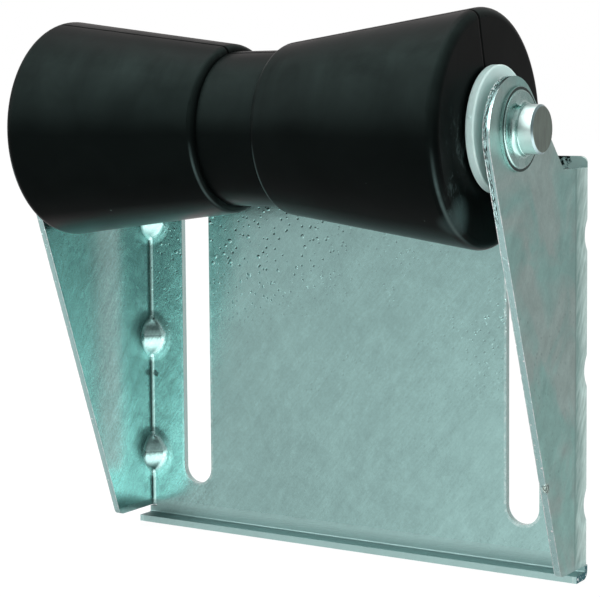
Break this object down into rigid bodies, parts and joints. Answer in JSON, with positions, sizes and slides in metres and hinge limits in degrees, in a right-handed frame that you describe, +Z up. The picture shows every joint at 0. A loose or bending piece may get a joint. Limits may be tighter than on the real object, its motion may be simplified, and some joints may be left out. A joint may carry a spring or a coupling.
{
  "type": "keel roller and bracket",
  "caption": "Double-cone rubber roller on a plain shaft between the ears of a folded sheet-steel bracket with slots for fixing, for guiding a keel or hull.",
  "frame": {"origin": "centre of the plate's flat back face, the face that is bolted on", "axes": "+X along the shaft to the right seen from the front, +Y out of the plate's back face into what it is fixed to, +Z up"},
  "size_m": [0.2476, 0.1177, 0.2367],
  "materials": {
    "galvanised_sheet": "galvanised, satin with a fine brushed and mottled look",
    "roller_rubber": "moulded black rubber, satin",
    "plated_bar": "zinc plated, fine turned marks",
    "spring_cap": "zinc plated stamping, smooth",
    "washer_nylon": "natural white nylon, slightly translucent"
  },
  "bodies": {
    "bracket": {"bracket": "galvanised_sheet"},
    "axle": {"shaft": "plated_bar", "left_retainer": "spring_cap", "right_retainer": "spring_cap"},
    "roller": {"roller": "roller_rubber"},
    "left_washer": {"left_washer": "washer_nylon"},
    "right_washer": {"right_washer": "washer_nylon"}
  },
  "joints": [
    {"name": "axle_spin", "type": "hinge", "parent": "bracket", "child": "axle", "pos_m": [0, -0.0709, 0.1012], "axis": [1, 0, 0], "continuous": true},
    {"name": "roller_spin", "type": "hinge", "parent": "axle", "child": "roller", "pos_m": [0, -0.0709, 0.1012], "axis": [1, 0, 0], "continuous": true},
    {"name": "left_washer_spin", "type": "hinge", "parent": "axle", "child": "left_washer", "pos_m": [0, -0.0709, 0.1012], "axis": [1, 0, 0], "continuous": true},
    {"name": "right_washer_spin", "type": "hinge", "parent": "axle", "child": "right_washer", "pos_m": [0, -0.0709, 0.1012], "axis": [1, 0, 0], "continuous": true}
  ]
}
